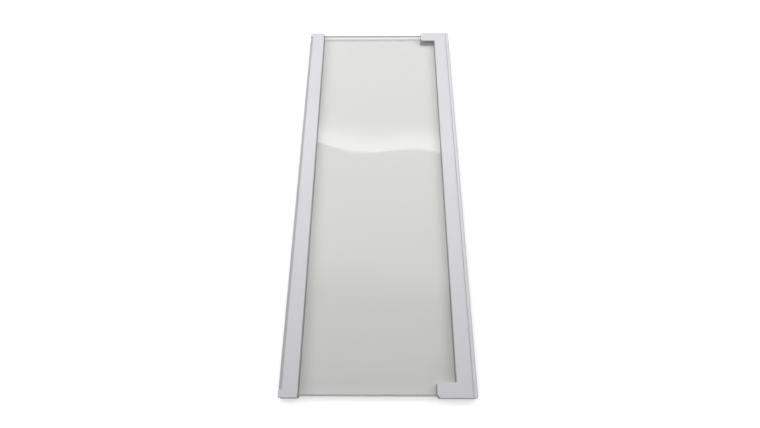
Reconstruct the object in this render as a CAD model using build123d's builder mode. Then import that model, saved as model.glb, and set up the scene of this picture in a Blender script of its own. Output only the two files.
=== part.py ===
"""Glass shelf for a fridge: a toughened pane with a moulded trim pushed onto its front and rear edges.

Millimetres. X runs side to side along the trims, Y from the front of the cabinet to its rear, Z up.
The origin lies on the surface that the trims stand on, under the middle of the shelf.
"""

import os

from build123d import *

# Toughened glass pane
pane_length = 482.0
pane_depth = 188.0
pane_thickness = 4.0
pane_corner_radius = 3.0
pane_arris = 1.1

# Clearances between the pane and the slots that it is pushed into
edge_gap = 0.4
seat_gap = 0.1

# Section that both trims share: a flange over the pane, a ledge under it and legs down to the surface
front_overlap = 15.6
rear_overlap = 15.4
flange_thickness = 2.8
ledge_thickness = 1.8
rest_height = 5.0
leg_wall = 2.0
end_wall = 1.4
top_edge_radius = 0.8

# Front trim: a nose that leans back from a lip along the front edge, between two square end blocks
front_wall = 4.0
block_setback = 1.0
nose_reach = 4.4
nose_drop = 6.5
nose_roll_radius = 1.2
nose_end_radius = 2.6
end_block_length = 7.2
front_corner_radius = 1.2

# Rear trim: a drip groove and a rounded lip along the rear edge, and an arm round each end of the pane
rear_wall = 4.4
groove_width = 1.2
groove_depth = 1.6
groove_inset = 4.4
rear_lip_radius = 2.0
rear_corner_radius = 1.2
arm_overlap = 12.8
arm_reach = 19.6
arm_bevel_length = 3.4
arm_bevel_width = 2.3
arm_tip_radius = 2.2
arm_root_radius = 1.2

# Corners of the front trim that lie over the pane
inner_corner_radius = 1.2

# Ribs that stiffen the hollow underside of the trims
rib_pitch = 40.0
rib_thickness = 1.4
rib_setback = 0.6

# Levels above the surface
slot_bottom = rest_height
pane_bottom = slot_bottom + seat_gap
pane_top = pane_bottom + pane_thickness
slot_top = pane_top + seat_gap
trim_height = slot_top + flange_thickness
pocket_height = rest_height - ledge_thickness

# Places from front to rear, with the whole shelf centred on the origin
front_reach = edge_gap + front_wall
rear_reach = edge_gap + rear_wall
shelf_depth = front_reach + pane_depth + rear_reach
front_face = -shelf_depth / 2
rear_face = shelf_depth / 2
block_face = front_face + block_setback
pane_front = front_face + front_reach
pane_rear = rear_face - rear_reach
pane_middle = (pane_front + pane_rear) / 2
front_inner = pane_front + front_overlap
rear_inner = pane_rear - rear_overlap

# Nose of the front trim: its edges before they are rounded
nose_edge = front_face + nose_reach
nose_inner = nose_edge + nose_roll_radius
nose_outer = front_face - nose_reach
nose_ceiling = trim_height + nose_drop
nose_floor = trim_height - 2 * nose_drop

# Places from side to side
slot_length = pane_length + 2 * edge_gap
trim_length = slot_length + 2 * end_wall
nose_length = trim_length - 2 * end_block_length
arm_width = arm_overlap + edge_gap + end_wall
arm_middle = trim_length / 2 - arm_width / 2
rib_count = int((trim_length - 2 * arm_width) / rib_pitch) + 1

os.makedirs("parts", exist_ok=True)


def cut_pane_slot():
    """Cuts the room for the pane and its clearances out of the trim being built."""
    with Locations((0, pane_middle, (slot_bottom + slot_top) / 2)):
        Box(slot_length, pane_depth + 2 * edge_gap, slot_top - slot_bottom, mode=Mode.SUBTRACT)


def hollow_underside(outline, low_y, high_y):
    """Hollows the trim being built from below, inside its outline, and leaves cross ribs in the long run."""
    with BuildSketch() as pocket:
        add(outline)
        offset(amount=-leg_wall, kind=Kind.INTERSECTION, mode=Mode.REPLACE)
    extrude(pocket.sketch, amount=pocket_height, mode=Mode.SUBTRACT)
    rib_height = pocket_height - rib_setback
    with Locations((0, (low_y + high_y) / 2, rib_setback + rib_height / 2)):
        with GridLocations(rib_pitch, 0, rib_count, 1):
            Box(rib_thickness, high_y - low_y - leg_wall, rib_height)


# Pane: cut glass with dubbed corners and ground arrises
with BuildPart() as glass_pane:
    with BuildSketch(Plane.XY.offset(pane_bottom)):
        with Locations((0, pane_middle)):
            RectangleRounded(pane_length, pane_depth, pane_corner_radius)
    extrude(amount=pane_thickness)
    chamfer(glass_pane.edges().group_by(Axis.Z)[0], pane_arris)
    chamfer(glass_pane.edges().group_by(Axis.Z)[-1], pane_arris)

# What the leaning nose leaves free: a wedge that rolls over into the top, rounded in plan where it runs out
with BuildPart() as nose_relief:
    with BuildSketch(Plane.YZ):
        with BuildLine():
            FilletPolyline(
                (nose_inner, trim_height),
                (nose_edge, trim_height),
                (nose_outer, nose_floor),
                radius=nose_roll_radius,
            )
            Polyline(
                (nose_outer, nose_floor),
                (nose_outer, nose_ceiling),
                (nose_inner, nose_ceiling),
                (nose_inner, trim_height),
            )
        make_face()
    extrude(amount=nose_length / 2, both=True)
    with BuildSketch(Plane.XY.offset(nose_floor)):
        with Locations((0, front_face)):
            RectangleRounded(nose_length, 2 * (nose_inner - front_face), nose_end_radius)
    extrude(amount=nose_ceiling - nose_floor, mode=Mode.INTERSECT)

# Front trim: one moulding with closed ends, its lip standing proud of the end blocks
with BuildPart() as front_trim:
    with BuildSketch() as front_outline:
        with Locations((0, (block_face + front_inner) / 2)):
            Rectangle(trim_length, front_inner - block_face)
        fillet(front_outline.vertices().group_by(Axis.Y)[0], front_corner_radius)
        fillet(front_outline.vertices().group_by(Axis.Y)[-1], inner_corner_radius)
    extrude(amount=trim_height)
    fillet(front_trim.edges().group_by(Axis.Z)[-1], top_edge_radius)
    with BuildSketch():
        with Locations((0, nose_inner)):
            RectangleRounded(nose_length, 2 * (nose_inner - front_face), nose_end_radius)
    extrude(amount=trim_height)
    add(nose_relief.part, mode=Mode.SUBTRACT)
    cut_pane_slot()
    hollow_underside(front_outline.sketch, block_face, front_inner)

# Rear trim: one moulding, a rail with an arm at each end
with BuildPart() as rear_trim:
    with BuildSketch() as rear_outline:
        with Locations((0, (rear_inner + rear_face) / 2)):
            Rectangle(trim_length, rear_face - rear_inner)
        # The right arm, bevelled at the outer corner of its tip, and its mirror image
        with Locations((arm_middle, rear_inner)):
            Polygon(
                (-arm_width / 2, 0),
                (-arm_width / 2, -arm_reach),
                (arm_width / 2 - arm_bevel_length, -arm_reach),
                (arm_width / 2, arm_bevel_width - arm_reach),
                (arm_width / 2, 0),
                align=None,
            )
        mirror(about=Plane.YZ)
        fillet(rear_outline.vertices().group_by(Axis.Y)[-1], rear_corner_radius)
        fillet(rear_outline.vertices().group_by(Axis.Y)[2], arm_root_radius)
        fillet(rear_outline.vertices().group_by(Axis.Y)[0].sort_by(Axis.X)[1:-1], arm_tip_radius)
    extrude(amount=trim_height)
    fillet(rear_trim.edges().group_by(Axis.Z)[-1], top_edge_radius)
    # Drip groove, and the corner outside the round of the lip behind it
    with BuildSketch(Plane.YZ):
        with Locations((rear_face - groove_inset, trim_height)):
            SlotOverall(2 * groove_depth, groove_width, rotation=90)
        with Locations((rear_face, trim_height)):
            Rectangle(2 * rear_lip_radius, 2 * rear_lip_radius)
        with Locations((rear_face - rear_lip_radius, trim_height - rear_lip_radius)):
            Circle(rear_lip_radius, mode=Mode.SUBTRACT)
    extrude(amount=trim_length / 2, both=True, mode=Mode.SUBTRACT)
    cut_pane_slot()
    hollow_underside(rear_outline.sketch, rear_inner, rear_face)

for name, piece in (("glass_pane", glass_pane), ("front_trim", front_trim), ("rear_trim", rear_trim)):
    piece.part.label = name
    export_step(piece.part, f"parts/{name}.step")
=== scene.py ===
"""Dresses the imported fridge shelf: finishes for the glass pane and its two trims, then the floor,
the light and the camera. Lengths are in metres, and colours are linear.
"""

import math

import bpy
import numpy as np
from mathutils import Matrix, Vector


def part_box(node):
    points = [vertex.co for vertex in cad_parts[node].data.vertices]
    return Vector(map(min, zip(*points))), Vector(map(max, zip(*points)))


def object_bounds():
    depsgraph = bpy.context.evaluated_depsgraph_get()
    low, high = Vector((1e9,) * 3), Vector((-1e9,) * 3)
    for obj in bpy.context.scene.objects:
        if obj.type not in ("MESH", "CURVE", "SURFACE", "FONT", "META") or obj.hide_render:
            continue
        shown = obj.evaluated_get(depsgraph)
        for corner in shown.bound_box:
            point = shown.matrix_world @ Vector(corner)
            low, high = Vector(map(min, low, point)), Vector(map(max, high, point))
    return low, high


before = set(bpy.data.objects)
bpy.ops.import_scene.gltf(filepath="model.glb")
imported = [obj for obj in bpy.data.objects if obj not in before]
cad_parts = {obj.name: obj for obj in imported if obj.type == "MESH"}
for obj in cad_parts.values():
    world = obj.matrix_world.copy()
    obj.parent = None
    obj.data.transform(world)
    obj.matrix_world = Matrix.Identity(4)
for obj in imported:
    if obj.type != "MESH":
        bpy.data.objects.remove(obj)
cad_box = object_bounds()

# Glass pane: one sheet of clear toughened float glass. It is cut, its edges are ground to a small
# arris, and it is then hardened on rollers, which leave a faint wave. It lies loose in the slots
# of the two trims.


class Field:
    """A number, colour, vector or shader that varies over a surface: the output socket of a node.

    +, -, * and / on fields and numbers add Math nodes, and add() makes any other node.
    """

    def __init__(self, socket):
        self.socket = socket
        self.tree = socket.id_data

    def add(self, kind, settings=None, inputs=None, output=0):
        """Makes a node of this kind and returns one of its outputs.

        Its settings are set first, and then its sockets, each a value or a field to link.
        """
        node = self.tree.nodes.new(kind)
        for name, value in (settings or {}).items():
            setattr(node, name, value)
        for name, value in (inputs or {}).items():
            if isinstance(value, Field):
                self.tree.links.new(value.socket, node.inputs[name])
            else:
                node.inputs[name].default_value = value
        return Field(node.outputs[output]) if node.outputs else None

    def math(self, operation, other=0.0, swapped=False):
        """A Math node on this field and another field or number, which comes first if swapped."""
        first, second = (other, self) if swapped else (self, other)
        return self.add("ShaderNodeMath", {"operation": operation}, {0: first, 1: second})

    def __add__(self, other):
        return self.math("ADD", other)

    def __radd__(self, other):
        return self.math("ADD", other, swapped=True)

    def __sub__(self, other):
        return self.math("SUBTRACT", other)

    def __rsub__(self, other):
        return self.math("SUBTRACT", other, swapped=True)

    def __mul__(self, other):
        return self.math("MULTIPLY", other)

    def __rmul__(self, other):
        return self.math("MULTIPLY", other, swapped=True)

    def __truediv__(self, other):
        return self.math("DIVIDE", other)

    def __rtruediv__(self, other):
        return self.math("DIVIDE", other, swapped=True)

    def __abs__(self):
        return self.math("ABSOLUTE")

    def axis(self, name):
        """The X, Y or Z of a vector."""
        return self.add("ShaderNodeSeparateXYZ", None, {0: self}, name)

    def step(self, low, high):
        """A smooth step: 0 up to low, 1 from high."""
        ends = {"Value": self, "From Min": low, "From Max": high}
        return self.add("ShaderNodeMapRange", {"interpolation_type": "SMOOTHSTEP"}, ends)

    def between(self, low, high):
        """The colour that runs from low to high as this field runs from 0 to 1."""
        # The colours are sockets 6 and 7 of a Mix node, and output 2
        return self.add("ShaderNodeMix", {"data_type": "RGBA"}, {0: self, 6: low, 7: high}, 2)

    def blend(self, first, second):
        """The shader that runs from the first to the second as this field runs from 0 to 1."""
        return self.add("ShaderNodeMixShader", None, {0: self, 1: first, 2: second})

    def noise(self, size, detail, stretch=(1.0, 1.0, 1.0)):
        """Cloudy noise from 0 to 1 over this vector, its blots about size times stretch across."""
        shrink = [1 / share for share in stretch]
        scaled = self.add("ShaderNodeMapping", None, {"Vector": self, "Scale": shrink})
        blots = {"Vector": scaled, "Scale": 1 / size, "Detail": detail}
        return self.add("ShaderNodeTexNoise", None, blots)

    def relief(self):
        """The normal of a surface that this field raises."""
        return self.add("ShaderNodeBump", None, {"Strength": 1.0, "Distance": 1.0, "Height": self})


def new_finish(name):
    """An empty material, and the field of points that its pattern starts from."""
    material = bpy.data.materials.new(name)
    material.use_nodes = True
    material.node_tree.nodes.clear()
    points = material.node_tree.nodes.new("ShaderNodeTexCoord")
    return material, Field(points.outputs["Object"])


def ray_kind(start, name):
    """What the Light Path node gives under this name, such as 1 for rays of one kind."""
    return start.add("ShaderNodeLightPath", output=name)


def dress(node, material):
    """Gives a CAD node its finish."""
    node.data.materials.clear()
    node.data.materials.append(material)


pane_low, pane_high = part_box("glass_pane")
pane_middle = (pane_low + pane_high) / 2
pane_half = (pane_high - pane_low) / 2
glass_index = 1.52
clear_tint = (0.935, 0.937, 0.926, 1.0)
lamp_tint = (0.95, 0.955, 0.945, 1.0)
# Roller waves, which sway from side to side as they cross the pane
wave_pitch = 0.24
wave_height = 0.000168
wave_start = 2.746
sway_pitch = 0.150
sway_start = -0.57
sway = 1.02
# Smears from wiping
smear_size = 0.09
smear_detail = 4.0
smear_stretch = (1.0, 2.2, 1.0)
smear_range = (0.5, 0.8)
smear_roughness = 0.04
# Ground edge: wider at the bottom of the pane than at its top. There its tint is darker, painted
# shade on the lower arris, and the shade ends over a range of the height
ground_width = 0.0012
deep_width = 0.0021
ground_fade = 0.92
ground_tint = (0.66, 0.69, 0.67, 1.0)
painted_shade_tint = (0.52, 0.55, 0.53, 1.0)
painted_shade_range = (0.1, 0.6)
ground_roughness = 0.5
ground_haze = 0.45
# Chips that grinding leaves in the edge
chip_size = 0.0022
chip_detail = 3.0
chip_stretch = (2.5, 2.5, 1.0)
chip_range = (0.45, 0.75)
chip_height = 0.00004
chipped_tint = (0.76, 0.79, 0.77, 1.0)

toughened_glass, pane_points = new_finish("toughened_glass")
sway_turn = pane_points.axis("Y") * (math.tau / sway_pitch) + sway_start
wave_turn = pane_points.axis("X") * (math.tau / wave_pitch) + wave_start
roller_turn = wave_turn + sway * sway_turn.math("SINE")
roller_wave = wave_height * roller_turn.math("SINE")
smears = pane_points.noise(smear_size, smear_detail, smear_stretch).step(*smear_range)
# 1 on the ground edge, and 0 on the clear glass inside it
inset_x = pane_half.x - abs(pane_points.axis("X") - pane_middle.x)
inset_y = pane_half.y - abs(pane_points.axis("Y") - pane_middle.y)
height = (pane_points.axis("Z") - pane_low.z) / (pane_high.z - pane_low.z)
edge_width = deep_width + (ground_width - deep_width) * height
ground = 1 - inset_x.math("MINIMUM", inset_y).step(ground_fade * edge_width, edge_width)
chips = pane_points.noise(chip_size, chip_detail, chip_stretch).step(*chip_range)
# The clear glass and the ground edge share one relief and one roughness
pane_relief = (roller_wave + chip_height * chips * ground).relief()
pane_roughness = (ground_roughness * ground).math("MAXIMUM", smear_roughness * smears)
glass = pane_points.add("ShaderNodeBsdfPrincipled", None, {
    "Base Color": clear_tint,
    "Roughness": pane_roughness,
    "IOR": glass_index,
    "Transmission Weight": 1.0,
    "Normal": pane_relief,
})
# Light from the lamps and from matt surfaces goes straight through and reaches what lies below
passed = pane_points.add("ShaderNodeBsdfTransparent", None, {"Color": lamp_tint})
lit_glass = ray_kind(pane_points, "Is Shadow Ray").blend(glass, passed)
open_glass = ray_kind(pane_points, "Is Diffuse Ray").blend(lit_glass, passed)
# The ground edge is frosted: it scatters light and lets some of it through
edge_tint = chips.between(ground_tint, chipped_tint)
# Towards the bottom of the pane the frosted edge's colour darkens: painted shade
frosted = pane_points.add("ShaderNodeBsdfPrincipled", None, {
    "Base Color": height.step(*painted_shade_range).between(painted_shade_tint, edge_tint),
    "Roughness": pane_roughness,
    "IOR": glass_index,
    "Transmission Weight": ground_haze,
    "Normal": pane_relief,
})
cut_glass = ground.blend(open_glass, frosted)
cut_glass.add("ShaderNodeOutputMaterial", None, {"Surface": cut_glass})
dress(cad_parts["glass_pane"], toughened_glass)

# Front trim: a glossy white polystyrene moulding that is pushed onto the pane's front edge. Its
# nose leans back from a lip between two square end blocks, and the ribs underneath leave faint
# sink marks in its top.
plastic_index = 1.55
# Flow clouds in the colour
white_plastic = (0.79, 0.782, 0.812, 1.0)
shaded_plastic = (0.765, 0.757, 0.79, 1.0)
cloud_size = 0.06
cloud_detail = 3.0
cloud_stretch = (3.0, 1.0, 1.0)
# Scuffs along the trim
plastic_roughness = 0.17
scuff_roughness = 0.10
scuff_size = 0.0012
scuff_detail = 2.0
scuff_stretch = (30.0, 1.0, 1.0)
scuff_range = (0.55, 0.8)
# Relief: sink marks over the ribs, orange peel and a slight warp
rib_pitch = 0.040
sink_width = 0.006
sink_depth = 0.000012
peel_size = 0.0035
peel_detail = 2.0
peel_height = 0.0000022
warp_size = 0.045
warp_detail = 1.0
warp_height = 0.00005


def moulded_plastic(name):
    """Glossy white moulding with flow clouds, fine scuffs, sink marks, peel and a slight warp.

    A sink mark is where the cosine of the turn along the trim, one turn for each rib, comes near 1.
    """
    material, points = new_finish(name)
    clouds = points.noise(cloud_size, cloud_detail, cloud_stretch)
    scuffs = points.noise(scuff_size, scuff_detail, scuff_stretch).step(*scuff_range)
    turn = points.axis("X") * (math.tau / rib_pitch)
    over_rib = turn.math("COSINE").step(math.cos(math.pi * sink_width / rib_pitch), 1.0)
    peel = peel_height * points.noise(peel_size, peel_detail)
    warp = warp_height * points.noise(warp_size, warp_detail)
    skin = peel + warp - sink_depth * over_rib
    plastic = points.add("ShaderNodeBsdfPrincipled", None, {
        "Base Color": clouds.between(white_plastic, shaded_plastic),
        "Roughness": plastic_roughness + scuff_roughness * scuffs,
        "IOR": plastic_index,
        "Normal": skin.relief(),
    })
    plastic.add("ShaderNodeOutputMaterial", None, {"Surface": plastic})
    return material


dress(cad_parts["front_trim"], moulded_plastic("front_trim_plastic"))

# Rear trim: a moulding of the same plastic, pushed onto the pane's rear edge. It has a drip groove
# along its outer side and an arm at each end that holds the pane's corner.
dress(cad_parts["rear_trim"], moulded_plastic("rear_trim_plastic"))

# Floor: a plain pale sheet that the shelf lies on. What the camera sees of it glows up to white,
# but not at all where the shelf covers it. Close to the shelf, ambient occlusion dims that glowing
# white: a painted contact shadow, beside the real shadow that the lamps cast. What the sheet
# throws back onto the shelf is dimmer.
floor_reach = 8.0
floor_covered = (0.93, 0.93, 0.93, 1.0)
floor_dim = (0.3, 0.3, 0.3, 1.0)
floor_open = (0.48, 0.48, 0.48, 1.0)
floor_glow = (1.0, 1.0, 1.0, 1.0)
no_glow = (0.0, 0.0, 0.0, 1.0)
shadow_power = 0.75
cover_reach = 0.025
cover_samples = 8
foot_edge = 0.002

# A square sheet: its corners lie one reach from the origin each way
corners = floor_reach * np.array([(-1, -1, 0), (1, -1, 0), (1, 1, 0), (-1, 1, 0)], float)
floor_mesh = bpy.data.meshes.new("floor")
floor_mesh.from_pydata(corners.tolist(), [], [(0, 1, 2, 3)])
floor = bpy.data.objects.new("floor", floor_mesh)
bpy.context.scene.collection.objects.link(floor)

floor_paint, floor_points = new_finish("floor_paint")
# 1 for rays from the camera, also through glass, and 0 once they have met a matt surface
direct = ray_kind(floor_points, "Is Camera Ray") + ray_kind(floor_points, "Is Transmission Ray")
matt_bounces = ray_kind(floor_points, "Diffuse Depth")
seen = direct.math("MINIMUM", 1.0) * matt_bounces.math("LESS_THAN", 1.0)
# 1 outside the shelf, which ends where the pane does and reaches from trim to trim
foot_low, foot_high = (Vector(corner) for corner in cad_box)
foot_middle = (foot_low + foot_high) / 2
foot_half = (foot_high - foot_low) / 2
past_end = abs(floor_points.axis("X") - pane_middle.x) - pane_half.x
past_side = abs(floor_points.axis("Y") - foot_middle.y) - foot_half.y
outside = past_end.math("MAXIMUM", past_side).step(-foot_edge, 0.0)
# Ambient occlusion dims the white close to the shelf: painted contact shadow
uncovered = floor_points.add(
    "ShaderNodeAmbientOcclusion", {"samples": cover_samples}, {"Distance": cover_reach}, "AO"
)
glow_with_painted_shadow = uncovered.math("POWER", shadow_power) * outside * seen
thrown_back = outside.between(floor_dim, floor_open)
shown = outside.between(floor_covered, floor_dim)
painted = floor_points.add("ShaderNodeBsdfPrincipled", None, {
    "Base Color": seen.between(thrown_back, shown),
    "Roughness": 1.0,
    "Specular IOR Level": 0.0,
    "Emission Color": glow_with_painted_shadow.between(no_glow, floor_glow),
    "Emission Strength": 1.0,
})
painted.add("ShaderNodeOutputMaterial", None, {"Surface": painted})
floor_mesh.materials.append(floor_paint)

# Light: a wide soft panel over the shelf, a weaker one low at its near end, and a dim room. The
# pane and the plastic mirror the room's white walls and its ceiling, which has a lit strip across
# it, and the camera sees the room as white.
key_place = Vector((-0.27, -0.12, 0.80))
key_tilt = 0.0
key_size = (0.75, 2.30)
key_brightness = 2.2
fill_place = Vector((1.15, 0.45, 0.36))
fill_tilt = math.radians(72.0)
fill_size = (0.60, 1.40)
fill_brightness = 1.2


def soft_panel(name, place, tilt, size, brightness):
    """A panel that faces down, tilted about its Y, equally bright all over, which nothing mirrors.

    Its power is pi times its brightness times its area.
    """
    lamp = bpy.data.lights.new(name, "AREA")
    lamp.shape = "RECTANGLE"
    lamp.size, lamp.size_y = size
    lamp.energy = math.pi * brightness * size[0] * size[1]
    panel = bpy.data.objects.new(name, lamp)
    panel.matrix_world = Matrix.Translation(place) @ Matrix.Rotation(tilt, 4, "Y")
    panel.visible_camera = False
    panel.visible_glossy = False
    panel.visible_transmission = False
    bpy.context.scene.collection.objects.link(panel)


soft_panel("key_panel", key_place, key_tilt, key_size, key_brightness)
soft_panel("fill_panel", fill_place, fill_tilt, fill_size, fill_brightness)

white = (1.0, 1.0, 1.0, 1.0)
backdrop_light = 1.0
room_light = 0.08
# Walls, up to where a direction's Z passes from their foot to their top
wall_light = 1.0
wall_foot = 0.3
wall_top = 0.5
# Ceiling from the near end to the far end: dim, brighter, a lit strip that fades, and the rest
near_ceiling = 0.2
mid_ceiling = 0.8
mid_lean = 0.25
mid_fade = 0.11
strip_light = 2.7
strip_lean = 0.652
strip_fade = 0.115
strip_turn = math.radians(-7.0)
far_ceiling = 0.85

room = bpy.data.worlds.new("room")
room.use_nodes = True
room.node_tree.nodes.clear()
toward = Field(room.node_tree.nodes.new("ShaderNodeTexCoord").outputs["Generated"])


def glowing(strength):
    """White light of this strength from the room."""
    return toward.add("ShaderNodeBackground", None, {"Color": white, "Strength": strength})


# How far a direction leans from upright towards the shelf's far end, as a tangent
along = toward.axis("X") * -math.cos(strip_turn) - toward.axis("Y") * math.sin(strip_turn)
lean = along / toward.axis("Z")
mid_share = lean.step(mid_lean, mid_lean + mid_fade)
unlit = mid_share.blend(glowing(near_ceiling), glowing(mid_ceiling))
far_share = lean.step(strip_lean, strip_lean + strip_fade)
strip = far_share.blend(glowing(strip_light), glowing(far_ceiling))
ceiling = lean.math("GREATER_THAN", strip_lean).blend(unlit, strip)
above_walls = toward.axis("Z").step(wall_foot, wall_top)
mirrored_room = above_walls.blend(glowing(wall_light), ceiling)
mirrored = ray_kind(toward, "Is Glossy Ray") + ray_kind(toward, "Is Transmission Ray")
lit_room = mirrored.math("MINIMUM", 1.0).blend(glowing(room_light), mirrored_room)
seen_room = ray_kind(toward, "Is Camera Ray").blend(lit_room, glowing(backdrop_light))
seen_room.add("ShaderNodeOutputWorld", None, {"Surface": seen_room})
bpy.context.scene.world = room
bpy.context.scene.view_settings.view_transform = "Standard"

# Camera: held above one end of the shelf and looking down along it, as in the photograph. Its
# place, angles and focal length were fitted to the shelf's corners and edges there.
image_width = 760
focal_pixels = 451.8
nearest_view = 0.01
camera_place = Vector((0.2685, 0.0062, 0.4869))
camera_pitch = math.radians(64.73)
camera_yaw = math.radians(1.06)
camera_roll = math.radians(-0.98)

lens = bpy.data.cameras.new("camera")
lens.lens = lens.sensor_width * focal_pixels / image_width
lens.clip_start = nearest_view
camera = bpy.data.objects.new("camera", lens)
camera.matrix_world = (
    Matrix.Translation(camera_place)
    @ Matrix.Rotation(math.pi / 2 + camera_yaw, 4, "Z")
    @ Matrix.Rotation(math.pi / 2 - camera_pitch, 4, "X")
    @ Matrix.Rotation(camera_roll, 4, "Z")
)
bpy.context.scene.collection.objects.link(camera)
bpy.context.scene.camera = camera
